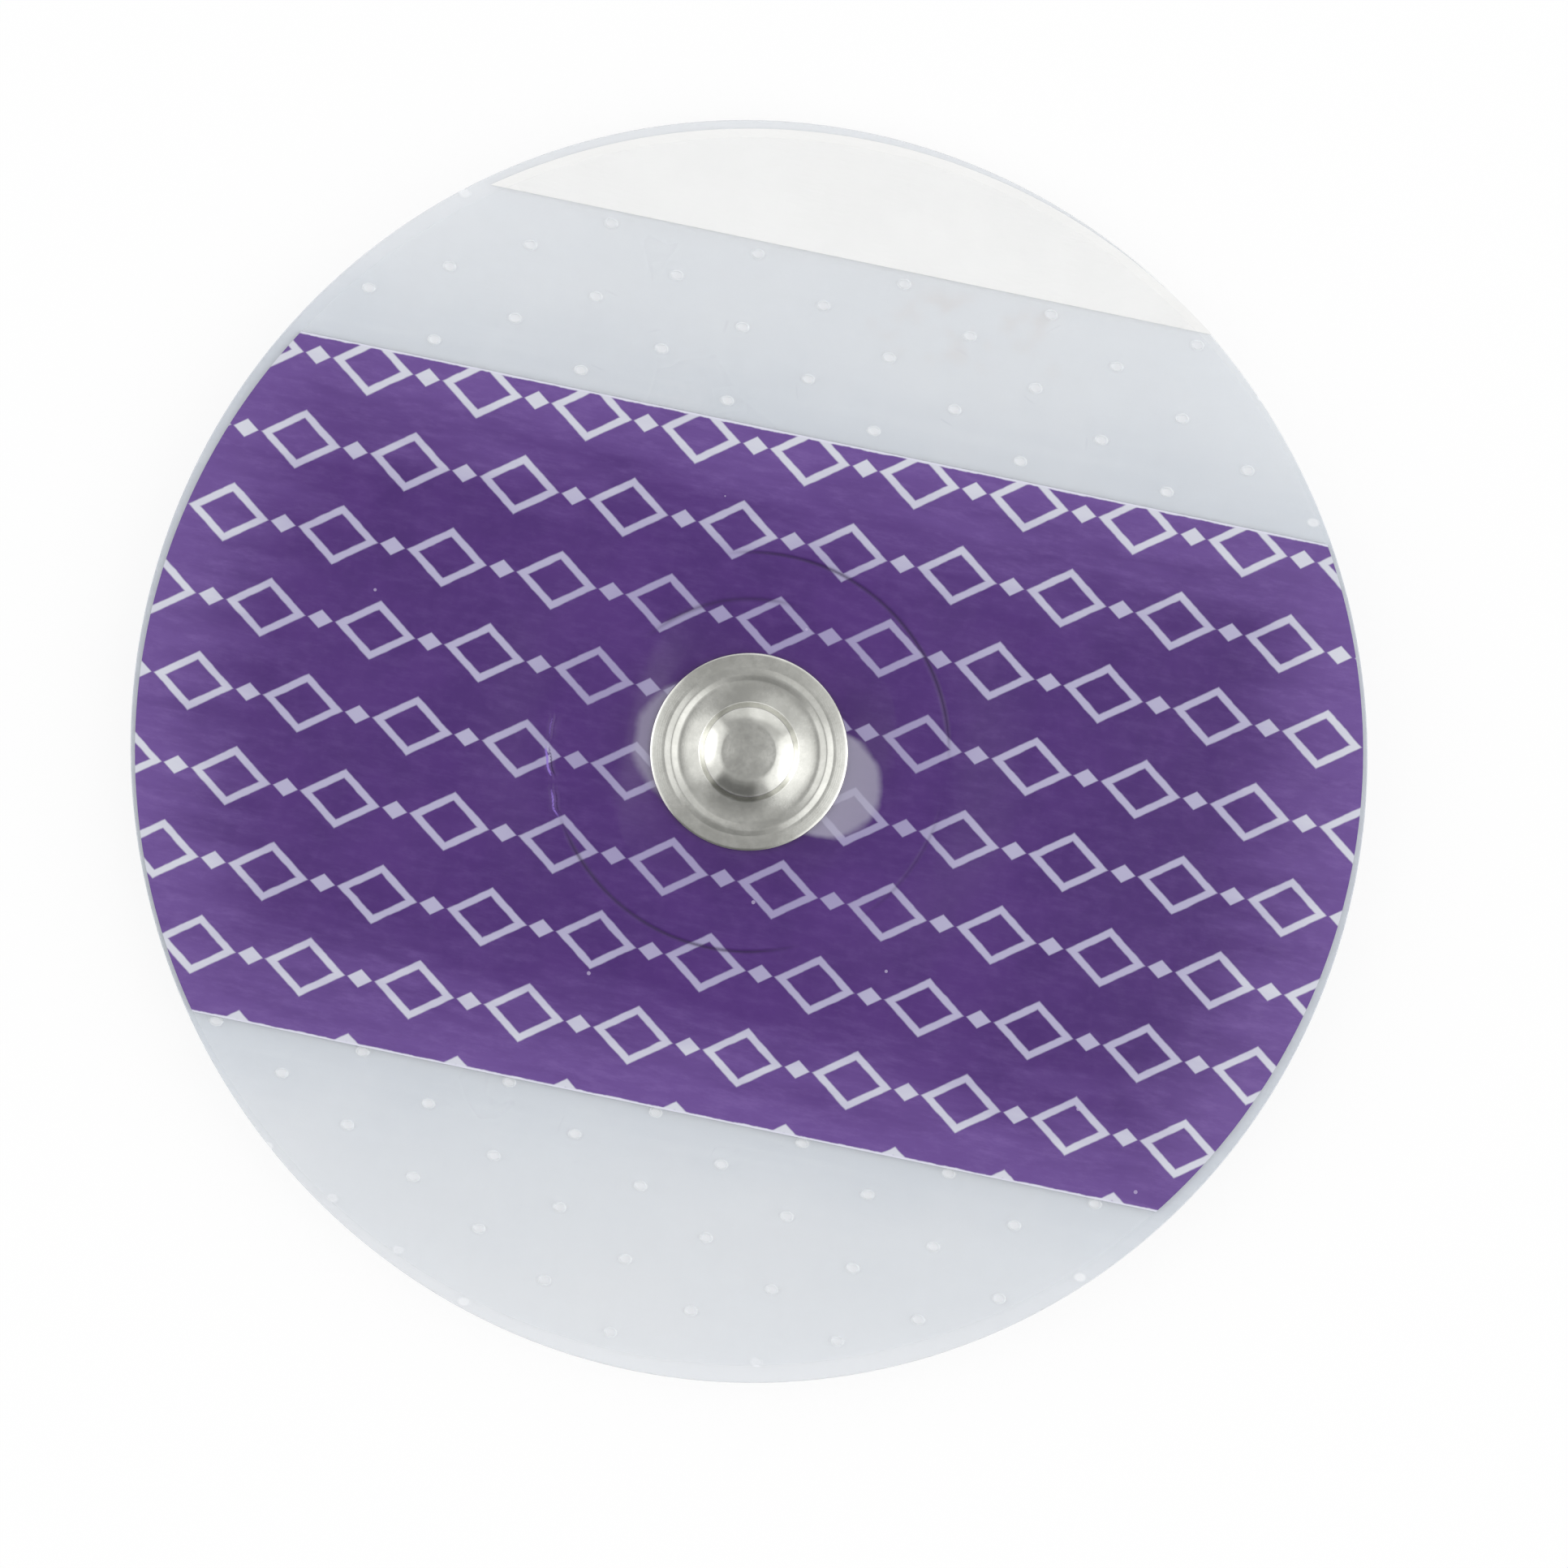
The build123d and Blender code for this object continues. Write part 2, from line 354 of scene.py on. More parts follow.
def rgb(r, g, b):
    """A linear colour from sRGB values of 0 to 255."""
    def line(v):
        v /= 255
        return v / 12.92 if v <= 0.04045 else ((v + 0.055) / 1.055) ** 2.4
    return (line(r), line(g), line(b), 1.0)


def label_material():
    """Glossy purple film with a print of lilac lozenges, creases and dust, with painted light that pales it
    towards its edges, painted shade round the stud and in its creases, and painted reflections beside the
    stud.
    """
    s = Shader("label_film", Specular_IOR_Level=0.5)
    mottle = s.noise(0.22, 4, 0.6, shift=(3, 7, 0))
    grain = s.noise(2.2, 3)
    radius = s.math("SQRT", s.math("ADD", s.math("MULTIPLY", s.x, s.x), s.math("MULTIPLY", s.y, s.y)))
    cut = s.math("MINIMUM", s.math("SUBTRACT", LABEL_TOP, s.y), s.math("SUBTRACT", s.y, LABEL_BOTTOM))
    margin = s.math("MINIMUM", cut, s.math("SUBTRACT", DISC_R, radius))
    # Painted light: the film grows paler towards its cut edges and rim, as it would when lit through from
    # beneath
    streak = s.noise(0.5, 4, 0.6, stretch=(0.3, 1.4, 1), shift=(5, 1, 0))
    depth = s.math("ADD", margin, s.math("MULTIPLY", s.math("SUBTRACT", streak, 0.5), 7.0))
    glow = s.rise(s.math("MULTIPLY", depth, -1.0), -6.5, 0.5)
    purple = s.blend(s.rise(mottle, 0.35, 0.7), rgb(67, 32, 106), rgb(76, 40, 115))
    purple = s.blend(glow, purple, rgb(103, 73, 143))
    purple = s.blend(s.math("MULTIPLY", s.rise(grain, 0.45, 0.7), 0.15), purple, rgb(92, 60, 128))
    # Painted light in streaks, strongest where the edge light is painted
    edge_light_streaks = s.rise(s.noise(1.5, 5, 0.7, stretch=(0.45, 1.5, 1), shift=(2, 6, 0)), 0.42, 0.75)
    purple = s.blend(s.math("MULTIPLY", edge_light_streaks, s.span(glow, 0.12, 0.40)), purple, rgb(126, 98, 164))
    shade = s.math("MULTIPLY", s.rise(radius, 7.5, 4.8), 0.14)
    purple = s.blend(shade, purple, rgb(46, 21, 66))
    # Open lozenges in brick rows, with a small solid one in each gap
    pitch_x, pitch_y, half_x, half_y = 5.0, 3.85, 1.55, 1.15
    row = s.math("FLOOR", s.math("DIVIDE", s.y, pitch_y))
    odd = s.math("MODULO", s.math("ADD", row, 40.0), 2.0)
    along = s.math("ADD", s.math("DIVIDE", s.x, pitch_x), s.math("MULTIPLY", odd, 0.5))
    u = s.math("MULTIPLY", s.math("SUBTRACT", s.math("FRACT", s.math("ADD", along, 40.0)), 0.5), pitch_x)
    v = s.math("SUBTRACT", s.y, s.math("MULTIPLY", s.math("ADD", row, 0.5), pitch_y))
    wide, high = s.math("ABSOLUTE", u), s.math("ABSOLUTE", v)
    slant = half_x * half_y / math.hypot(half_x, half_y)
    lozenge = s.math("ADD", s.math("DIVIDE", wide, half_x), s.math("DIVIDE", high, half_y))
    off = s.math("ABSOLUTE", s.math("MULTIPLY", s.math("SUBTRACT", lozenge, 1.0), slant))
    ragged = s.span(s.noise(1.6, 2, shift=(11, 0, 0)), 0.12, 0.20)
    stroke = s.rise(s.math("SUBTRACT", ragged, off), -0.04, 0.05)
    gap = s.math("ABSOLUTE", s.math("SUBTRACT", wide, pitch_x / 2))
    seed = s.math("ADD", s.math("DIVIDE", gap, half_x), s.math("DIVIDE", high, half_y))
    ink = s.math("MAXIMUM", stroke, s.rise(s.math("MULTIPLY", seed, -1.0), -0.40, -0.32))
    lilac = s.blend(s.rise(radius, 7.0, 13.0), rgb(154, 146, 183), rgb(176, 172, 200))
    # Painted light on the print as well, paler towards the edges
    lilac = s.blend(glow, lilac, rgb(209, 211, 221))
    colour = s.blend(s.math("MULTIPLY", ink, 0.96), purple, lilac)
    # Painted reflections left and lower right of the stud: pale patches where the dished film would mirror
    # the side lights
    angle = s.math("DEGREES", s.math("ARCTAN2", s.y, s.x))
    edge_noise = s.math("MULTIPLY", s.math("SUBTRACT", s.noise(0.9, 2, shift=(7, 7, 0)), 0.5), 0.5)
    for middle, half, reach, strength in ((184.0, 37.0, 0.90, 0.46), (-11.0, 34.0, 1.95, 0.62)):
        off_axis = s.math("WRAP", s.math("SUBTRACT", angle, middle), 180.0, -180.0)
        share = s.math("POWER", s.math("DIVIDE", off_axis, half), 2.0)
        edge = s.math("ADD", s.math("SUBTRACT", STUD_R + reach, s.math("MULTIPLY", share, reach)), edge_noise)
        inside = s.rise(s.math("SUBTRACT", edge, radius), -0.05, 0.42)
        outwards = s.math("DIVIDE", s.math("SUBTRACT", radius, STUD_R), reach, clamp=True)
        fade = s.span(outwards, strength, strength * 0.8)
        colour = s.blend(s.math("MULTIPLY", inside, fade), colour, rgb(178, 176, 192))
    # Dust and small pinholes in the print
    cells = s.add("ShaderNodeTexVoronoi", s.mm, Scale=0.62)
    speck = s.math("LESS_THAN", cells.outputs["Distance"], 0.055)
    rare = s.math("GREATER_THAN", s.add("ShaderNodeSeparateColor", cells.outputs["Color"]).outputs[0], 0.86)
    colour = s.blend(s.math("MULTIPLY", s.math("MULTIPLY", speck, rare), 0.55), colour, rgb(190, 178, 210))
    # Painted shade in the creases, and the cut edges show the film's pale core
    crease_shade = s.add("ShaderNodeAttribute", attribute_name="crease").outputs["Fac"]
    colour = s.blend(s.math("MULTIPLY", crease_shade, 0.75), colour, rgb(34, 16, 56))
    # Painted highlight along the puckers' ridges, and painted shade in the furrows beside them
    ridge = s.add("ShaderNodeAttribute", attribute_name="pucker").outputs["Fac"]
    colour = s.blend(s.math("MULTIPLY", s.rise(ridge, 0.30, 0.80), 0.9), colour, rgb(140, 110, 202))
    colour = s.blend(s.math("MULTIPLY", s.rise(ridge, -0.35, -0.9), 0.7), colour, rgb(34, 16, 56))
    worn = s.math("ADD", cut, s.math("MULTIPLY", s.noise(0.9, 4, 0.7), -0.16))
    colour = s.blend(s.rise(s.math("MULTIPLY", worn, -1.0), -0.04, 0.03), colour, rgb(214, 214, 228))
    s.set("Base Color", colour)
    s.set("Roughness", s.span(s.noise(0.5, 3, shift=(0, 5, 0)), 0.16, 0.26))
    s.bump(s.math("ADD", s.noise(0.35, 3, 0.5, shift=(9, 2, 0)), s.math("MULTIPLY", ink, 0.06)), 0.03)
    return s.material


def tape_material():
    """Clear, slightly hazy tape, whitened round each perforation, with faint adhesive smears by the tab."""
    s = Shader("tape_film", Specular_IOR_Level=0.4)
    cloud = s.noise(0.16, 4, 0.55, shift=(1, 4, 0))
    fine = s.noise(3.5, 3)
    colour = s.blend(s.rise(cloud, 0.3, 0.75), rgb(232, 236, 241), rgb(240, 242, 245))
    below = s.rise(s.math("MULTIPLY", s.y, -1.0), -22.3, -21.4)
    near = s.math("MULTIPLY", s.rise(s.y, 18.2, 19.8), below)
    near = s.math("MULTIPLY", near, s.rise(s.math("ABSOLUTE", s.math("SUBTRACT", s.x, 6.0)), 6.5, 2.0))
    smear = s.math("MULTIPLY", near, s.rise(s.noise(0.8, 4, 0.6, shift=(4, 4, 0)), 0.5, 0.68))
    colour = s.blend(s.math("MULTIPLY", smear, 0.7), colour, rgb(216, 200, 190))
    white = s.add("ShaderNodeAttribute", attribute_name="whitening").outputs["Fac"]
    s.set("Base Color", s.blend(white, colour, rgb(244, 246, 248)))
    haze = s.span(s.rise(cloud, 0.25, 0.8), 0.10, 0.14)
    haze = s.math("ADD", haze, s.math("MULTIPLY", s.rise(fine, 0.55, 0.8), 0.03))
    haze = s.math("MULTIPLY", haze, s.span(s.rise(s.y, TAB_EDGE - TAB_RAMP, TAB_EDGE), 1.0, 0.3))
    s.set("Alpha", s.math("ADD", haze, s.math("MULTIPLY", white, 0.35), clamp=True))
    s.set("Roughness", s.span(fine, 0.30, 0.44))
    s.bump(s.noise(0.9, 4, 0.6), 0.02)
    return s.material


def tab_material():
    """Opaque white film with a faint calendered texture."""
    s = Shader("tab_film", Roughness=0.5, Specular_IOR_Level=0.4)
    cloud = s.noise(0.3, 4)
    fibre = s.noise(2.6, 4, 0.6, stretch=(0.35, 1.6, 1))
    colour = s.blend(s.rise(cloud, 0.3, 0.7), rgb(237, 237, 236), rgb(240, 240, 239))
    colour = s.blend(s.math("MULTIPLY", s.rise(fibre, 0.5, 0.75), 0.35), colour, rgb(233, 234, 234))
    s.set("Base Color", colour)
    s.set("Roughness", s.span(fibre, 0.45, 0.6))
    s.bump(fibre, 0.012)
    return s.material


def liner_material():
    """Bluish translucent film with fine drawing lines, dry and white where a perforation bares it."""
    s = Shader("liner_film", Specular_IOR_Level=0.5)
    cloud = s.noise(0.12, 4, shift=(6, 1, 0))
    lines = s.noise(1.2, 3, stretch=(0.08, 1.5, 0.4))
    # Painted shade: the liner is darker beside the label and paler towards the rim
    aside = s.math("MAXIMUM", s.math("SUBTRACT", s.y, LABEL_TOP), s.math("SUBTRACT", LABEL_BOTTOM, s.y))
    aside = s.math("ADD", aside, s.math("MULTIPLY", s.math("SUBTRACT", cloud, 0.5), 5.0))
    colour = s.blend(s.rise(aside, -1.0, 5.0), rgb(205, 212, 221), rgb(226, 230, 235))
    colour = s.blend(s.rise(aside, 4.0, 10.0), colour, rgb(233, 236, 240))
    colour = s.blend(s.math("MULTIPLY", s.rise(lines, 0.45, 0.7), 0.2), colour, rgb(228, 232, 238))
    row = s.math("ROUND", s.math("DIVIDE", s.math("SUBTRACT", s.y, SHIFT[1]), PITCH[1] / 2))
    odd = s.math("MODULO", s.math("ADD", row, 40.0), 2.0)
    along = s.math("DIVIDE", s.math("SUBTRACT", s.x, SHIFT[0]), PITCH[0])
    along = s.math("SUBTRACT", along, s.math("MULTIPLY", odd, 0.5))
    u = s.math("MULTIPLY", s.math("SUBTRACT", along, s.math("ROUND", along)), PITCH[0] / PERFORATION[0])
    v = s.math("SUBTRACT", s.math("SUBTRACT", s.y, SHIFT[1]), s.math("MULTIPLY", row, PITCH[1] / 2))
    v = s.math("DIVIDE", v, PERFORATION[1])
    reach = s.math("SQRT", s.math("ADD", s.math("MULTIPLY", u, u), s.math("MULTIPLY", v, v)))
    bare = s.math("MAXIMUM", s.math("GREATER_THAN", s.y, LABEL_TOP), s.math("LESS_THAN", s.y, LABEL_BOTTOM))
    bare = s.math("MULTIPLY", bare, s.math("LESS_THAN", s.y, TAB_EDGE - TAB_RAMP))
    dry = s.math("MULTIPLY", bare, s.rise(s.math("MULTIPLY", reach, -1.0), -1.4, -0.7))
    s.set("Base Color", s.blend(dry, colour, rgb(240, 242, 245)))
    s.set("Alpha", s.math("ADD", s.span(cloud, 0.56, 0.66), s.math("MULTIPLY", dry, 0.25), clamp=True))
    s.set("Roughness", s.span(lines, 0.24, 0.38))
    s.bump(s.math("ADD", s.noise(0.5, 4), s.math("MULTIPLY", lines, 0.4)), 0.03)
    return s.material


def nickel_material():
    """Satin nickel plate, with drawing marks round the axis and faint stains."""
    s = Shader("nickel", Metallic=1.0)
    radius = s.math("SQRT", s.math("ADD", s.math("MULTIPLY", s.x, s.x), s.math("MULTIPLY", s.y, s.y)))
    turned = s.add("ShaderNodeCombineXYZ", s.math("MULTIPLY", radius, 9.0), s.z, 0.0).outputs[0]
    rings = s.add("ShaderNodeTexNoise", turned, Scale=2.2, Detail=4.0, Roughness=0.7).outputs["Fac"]
    stain = s.noise(1.1, 5, 0.65, shift=(2, 9, 4))
    fine = s.noise(9.0, 3, 0.6)
    colour = s.blend(s.rise(stain, 0.32, 0.7), rgb(203, 203, 197), rgb(219, 219, 213))
    colour = s.blend(s.math("MULTIPLY", s.rise(fine, 0.5, 0.75), 0.25), colour, rgb(194, 195, 187))
    crown = s.math("MULTIPLY", s.rise(s.z, STUD_TOP - 0.08, STUD_TOP - 0.02), s.rise(radius, 1.35, 1.10))
    worn = s.rise(s.noise(2.6, 4, 0.6, shift=(8, 3, 0)), 0.3, 0.7)
    wear = s.math("MULTIPLY", crown, s.span(worn, 0.05, 0.35))
    colour = s.blend(wear, colour, rgb(170, 170, 166))
    s.set("Base Color", colour)
    satin = s.math("ADD", s.math("MULTIPLY", stain, 0.6), s.math("MULTIPLY", rings, 0.4))
    s.set("Roughness", s.span(satin, 0.12, 0.24))
    s.bump(s.math("ADD", s.math("MULTIPLY", rings, 0.5), s.math("MULTIPLY", fine, 0.4)), 0.003)
    return s.material


def silver_material():
    """Dull silver and silver chloride coat on a moulded flange."""
    s = Shader("silver_coat", Metallic=0.6)
    grain = s.noise(5.0, 5, 0.65)
    patch = s.noise(0.5, 3, shift=(4, 0, 0))
    colour = s.blend(s.rise(patch, 0.35, 0.65), rgb(150, 149, 150), rgb(176, 175, 174))
    s.set("Base Color", s.blend(s.math("MULTIPLY", s.rise(grain, 0.5, 0.7), 0.5), colour, rgb(126, 124, 127)))
    s.set("Roughness", s.span(grain, 0.4, 0.65))
    s.bump(grain, 0.02)
    return s.material


def foam_material():
    """Open-cell foam soaked with gel: pale, pitted and wet."""
    s = Shader("gel_foam", Specular_IOR_Level=0.6)
    cells = s.add("ShaderNodeTexVoronoi", s.mm, Scale=2.4).outputs["Distance"]
    damp = s.noise(0.35, 4)
    colour = s.blend(s.rise(cells, 0.1, 0.55), rgb(198, 201, 190), rgb(232, 233, 225))
    s.set("Base Color", s.blend(s.math("MULTIPLY", s.rise(damp, 0.4, 0.7), 0.4), colour, rgb(214, 220, 212)))
    s.set("Roughness", s.span(damp, 0.18, 0.5))
    s.bump(cells, 0.18)
    return s.material


# Printed label
def in_label(x, y):
    return math.hypot(x, y) < DISC_R and LABEL_BOTTOM < y < LABEL_TOP and math.hypot(x, y) > FILM_HOLE_R


def label_top_height(x, y):
    return SEAT + bulge(x, y) + sway(x, y) - CREASE_DEPTH * crease(x, y) + PUCKER_HEIGHT * pucker(x, y)


# Radii of the rings of points, close together at the creases
near = [1.9, 2.4, 3.0, 3.6, 4.2, 4.7, 5.0, 5.3, 5.7, 6.1, 6.5]
near += [6.7, 6.78, 6.85, 6.92, 7.0, 7.2, 7.6, 8.0, 8.4, 8.65]
near += [8.75, 8.8, 8.84, 8.88, 8.92, 8.96, 9.0, 9.04, 9.08, 9.14, 9.22, 9.4, 9.7, 10.0, 10.3, 10.6, 11.0]
far = list(np.arange(11.6, DISC_R - 0.3, 0.6))


def label_spacing(r):
    """Distance of the points on a ring: fine at the creases, and coarse outside the sponge."""
    if 6.6 < r < 7.1 or 8.6 < r < 9.3:
        return 0.14
    return 0.40 if r < FREE_R else 0.62


label = film(
    "printed_label",
    [segment_outline(DISC_R, LABEL_BOTTOM, LABEL_TOP), circle(FILM_HOLE_R, 48)],
    ring_points(near + far, label_spacing, lambda x, y: LABEL_BOTTOM + 0.3 < y < LABEL_TOP - 0.3),
    in_label,
    label_top_height,
    lambda x, y: TAPE_TOP + SKIN + bulge(x, y) + sway(x, y),
    label_material(),
    "label_strip",
)
points = np.array([v.co for v in label.data.vertices]) / MM
for shape in (crease, pucker):
    values = label.data.attributes.new(shape.__name__, "FLOAT", "POINT")
    values.data.foreach_set("value", shape(points[:, 0], points[:, 1]).astype(np.float32))

# Perforated tape
spots = perforations()


def perforated(x, y):
    return any(((x - a) / PERFORATION[0]) ** 2 + ((y - b) / PERFORATION[1]) ** 2 < 1 for a, b in spots)


def in_tape(x, y):
    return FILM_HOLE_R < math.hypot(x, y) < DISC_R and not perforated(x, y)


def clear_of_spots(x, y):
    return all(math.hypot(x - a, y - b) > 0.55 for a, b in spots)


def lip(x, y):
    """Height in millimetres of the raised lip round each perforation."""
    high = np.zeros_like(x)
    for a, b in spots:
        d = np.sqrt(((x - a) / PERFORATION[0]) ** 2 + ((y - b) / PERFORATION[1]) ** 2)
        high = np.maximum(high, LIP_HEIGHT * np.exp(-(((d - 1.05) / 0.22) ** 2)))
    return high


tape_outline = circle(DISC_R, 360)
spot_loops = [circle(PERFORATION[0], 16, spot, PERFORATION[1]) for spot in spots]
lip_points = []
for spot in spots:
    for k in (1.15, 1.35, 1.8):
        lip_points += circle(PERFORATION[0] * k, 14, spot, PERFORATION[1] * k)
fold_lines = [(x, y) for y in (TAB_EDGE - TAB_RAMP, TAB_EDGE) for x in np.arange(-16.5, 16.6, 0.5)]
fold_lines = [p for p in fold_lines if math.hypot(*p) < DISC_R - 0.2]
tape_rings = [2.5, 3.5, 4.5, 5.0, 5.6, 6.2, 6.9, 7.6, 8.3, 9.02, 9.5, 10.0, 10.44, 11.0, *far]
tape = film(
    "perforated_tape",
    [tape_outline, circle(FILM_HOLE_R, 48), *spot_loops],
    ring_points(
        tape_rings,
        lambda r: 0.75,
        lambda x, y: clear_of_spots(x, y) and abs(y - TAB_EDGE + TAB_RAMP / 2) > 0.4,
    ) + fold_lines + lip_points,
    in_tape,
    lambda x, y: TAPE_TOP + bulge(x, y) + sway(x, y) + tab_step(y) + lip(x, y),
    lambda x, y: FLANGE + SKIN + bulge(x, y) + sway(x, y) + tab_step(y),
    tape_material(),
    "backing_tape",
)
points = np.array([v.co for v in tape.data.vertices]) / MM
white = tape.data.attributes.new("whitening", "FLOAT", "POINT")
whiteness = np.clip(lip(points[:, 0], points[:, 1]) / LIP_HEIGHT, 0, 1)
white.data.foreach_set("value", whiteness.astype(np.float32))

# White lift tab
film(
    "white_tab",
    [segment_outline(TAB_R, TAB_EDGE, TAB_R)],
    ring_points(far, lambda r: 0.7, lambda x, y: y > TAB_EDGE + 0.3),
    lambda x, y: math.hypot(x, y) < TAB_R and y > TAB_EDGE,
    lambda x, y: TAB_TOP + sway(x, y),
    lambda x, y: FLANGE + SKIN + sway(x, y),
    tab_material(),
    "lift_tab",
)

# Formed release liner, with rounded corners at the well's floor and mouth
sheet, edge_round, ring = 0.20, 0.04, 0.6
under_z = FLANGE - sheet
inner_side = [(0, sheet), (6.0, sheet), (8.9, sheet)]
inner_side += bend((8.9, sheet), (9.40, sheet), (9.50, 0.66), 8)
inner_side += bend((9.70, 1.80), (9.84, FLANGE), (10.35, FLANGE), 8)
inner_side += [(r, FLANGE) for r in [*np.arange(10.9, LINER_R - 0.3, ring), LINER_R - edge_round]]
under_side = [(LINER_R - edge_round, under_z)]
under_side += [(r, under_z) for r in np.arange(LINER_R - 0.4, 10.9, -ring)]
under_side += bend((10.50, under_z), (10.02, under_z), (9.90, 1.75), 8)
under_side += bend((9.72, 0.56), (9.62, 0.0), (8.95, 0.0), 8)
under_side += [(6.0, 0.0), (0, 0.0)]


def oval_rim(v):
    """The liner sways with the disc, and its rim is slightly oval."""
    r, a = np.hypot(v[:, 0], v[:, 1]), np.arctan2(v[:, 1], v[:, 0])
    out = LINER_OVAL * np.cos(2 * (a - LINER_TURN)) * ease(20.0, LINER_R, r)
    dx, dy = out * np.cos(a), out * np.sin(a)
    return np.c_[dx, dy, sway(v[:, 0] + dx, v[:, 1] + dy)]


liner_profile = under_side[::-1] + [(LINER_R, FLANGE - sheet / 2)] + inner_side[::-1]
lathe(
    "formed_liner",
    liner_profile,
    240,
    liner_material(),
    "release_liner",
    move=oval_rim,
)

# Gel sponge, with a recess on top for the sensor
foam_foot, foam_top, recess = 0.22, 2.36, 1.62
foam_profile = [(0, foam_foot), (4.5, foam_foot), (8.5, foam_foot)]
foam_profile += bend((8.75, foam_foot), (8.97, foam_foot), (8.97, 0.45), 4)
foam_profile += [(8.99, 0.9), (9.0, 1.4), (8.98, 1.9)]
foam_profile += bend((8.96, 2.16), (8.96, foam_top), (8.70, foam_top), 4)
foam_profile += [(8.0, 2.37), (7.2, foam_top), (6.7, 2.33), (5.9, 2.28), (5.3, 2.22), (5.08, 2.18)]
foam_profile += [(5.06, 1.64), (2.5, recess), (0, recess)]


def foam_pits(v):
    """Small unevenness of the foam's upper skin, downwards only."""
    depth, grain, skin_from = 0.03, 1.7, 2.0
    drops = [-depth * abs(noise.noise(Vector(p) * grain)) if p[2] > skin_from else 0.0 for p in v]
    return np.array([(0, 0, drop) for drop in drops])


sponge = lathe(
    "foam_sponge",
    foam_profile,
    144,
    foam_material(),
    "gel_sponge",
    move=foam_pits,
    sharp=60,
)

# Snap stud: rounded brim, low bead between two flat valleys, slightly conical foot, neck, waist and head
stud_sheet, brim_round, soft = 0.26, 0.13, 0.06
brim_top = SEAT + stud_sheet
brim_r, valley_r, bead_r, half_bead, bead_height, crest = 4.30, 3.88, 3.49, 0.28, 0.046, 0.06
foot_r, middle_r, cone_r, corner_r, neck_r = 3.10, 2.92, 2.72, 2.27, 2.15
waist_r, swell, waist_height, head_r = 1.72, 0.28, 0.60, 2.0
crown_r, crown_drop, shoulder_r, shoulder_width, shoulder_drop = 1.15, 0.03, 1.98, 0.83, 0.377
brim_lean, foot_lean = math.tan(math.radians(4.0)), math.tan(math.radians(8.3))
neck_top, land_foot, land_top = brim_top + 1.00, brim_top + 1.60, brim_top + 2.00
outer = [(STUD_R, SEAT), (STUD_R, brim_top - brim_round)]
outer += bend(outer[-1], (STUD_R, brim_top), (brim_r, brim_top), 6)
valley_z = brim_top + brim_lean * (brim_r - valley_r)
outer.append((valley_r + soft, valley_z - brim_lean * soft))
outer += bend(outer[-1], (valley_r, valley_z), (valley_r - soft, valley_z), 4)
for d in np.linspace(half_bead, -half_bead, 29):
    fall = (math.hypot(d, crest) - crest) / (math.hypot(half_bead, crest) - crest)
    outer.append((bead_r + d, valley_z + bead_height * (1 - fall)))
outer.append((foot_r, valley_z))
outer += bend(outer[-1], (middle_r, valley_z), (cone_r, valley_z + foot_lean * (middle_r - cone_r)), 8)
outer.append((corner_r, outer[-1][1] + foot_lean * (cone_r - corner_r)))
corner_z = outer[-1][1]
outer += bend(outer[-1], (neck_r + 0.03, corner_z + foot_lean * 0.09), (neck_r, corner_z + 0.20), 10)
neck_z = outer[-1][1]
outer += [(neck_r + (waist_r - neck_r) * t, neck_z + (neck_top - neck_z) * t) for t in (0.3, 0.6, 0.9)]
outer += bend(outer[-1], (waist_r, neck_top), (1.745, neck_top + 0.06), 4)
for t in np.linspace(0.25, 1.0, 9):
    swing = 0.5 - 0.5 * math.cos(math.pi * t)
    outer.append((waist_r + swell * swing, neck_top + waist_height * t))
outer += [(head_r, land_top + 0.065), (1.993, land_top + 0.083)]
crown_z = STUD_TOP - crown_drop
for r in np.linspace(shoulder_r, crown_r, 24):
    fall = ((r - crown_r) / shoulder_width) ** 2.2
    outer.append((r, crown_z - shoulder_drop * fall))
outer += [(r, STUD_TOP - crown_drop * (r / crown_r) ** 2) for r in (1.0, 0.8, 0.6, 0.4, 0.2, 0.0)]
# The hollow follows the CAD node's
roof, head_hollow_r, waist_hollow_r = STUD_TOP - stud_sheet, 1.74, 1.46
hollow = [(0, roof), (crown_r, roof)]
hollow += [(head_hollow_r, land_top), (head_hollow_r, land_foot), (waist_hollow_r, neck_top)]
hollow += [(2.33, SEAT), (3.15, SEAT), (3.59, SEAT + 0.06), (4.03, SEAT)]
lathe("drawn_stud", hollow + outer, 192, nickel_material(), "snap_stud")

# The sensor keeps its CAD mesh and takes a silver coat
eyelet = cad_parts["sensor_eyelet"]
eyelet.data.materials.clear()
eyelet.data.materials.append(silver_material())

# Camera, nearly straight above and turned about the stud's axis
turn, tilt = math.radians(11.75), math.radians(0.3)
aim_right, aim_down = 1.566, 1.437
distance, frame_width, sensor_width = 0.600, 0.07019, 36
right = Vector((math.cos(turn), math.sin(turn), 0))
up = Vector((-math.sin(turn), math.cos(turn), 0))
aim = (right * aim_right - up * aim_down) * MM + Vector((0, 0, TAPE_TOP * MM))
camera_data = bpy.data.cameras.new("camera")
camera_data.sensor_width = sensor_width
camera_data.lens = sensor_width * distance / frame_width
camera = bpy.data.objects.new("camera", camera_data)
bpy.context.scene.collection.objects.link(camera)
back = Vector((0, 0, 1)) * math.cos(tilt) + up * math.sin(tilt)
camera_up = up * math.cos(tilt) - Vector((0, 0, 1)) * math.sin(tilt)
axes = Matrix((right, camera_up, back)).transposed().to_4x4()
camera.matrix_world = Matrix.Translation(aim + back * distance) @ axes
bpy.context.scene.camera = camera

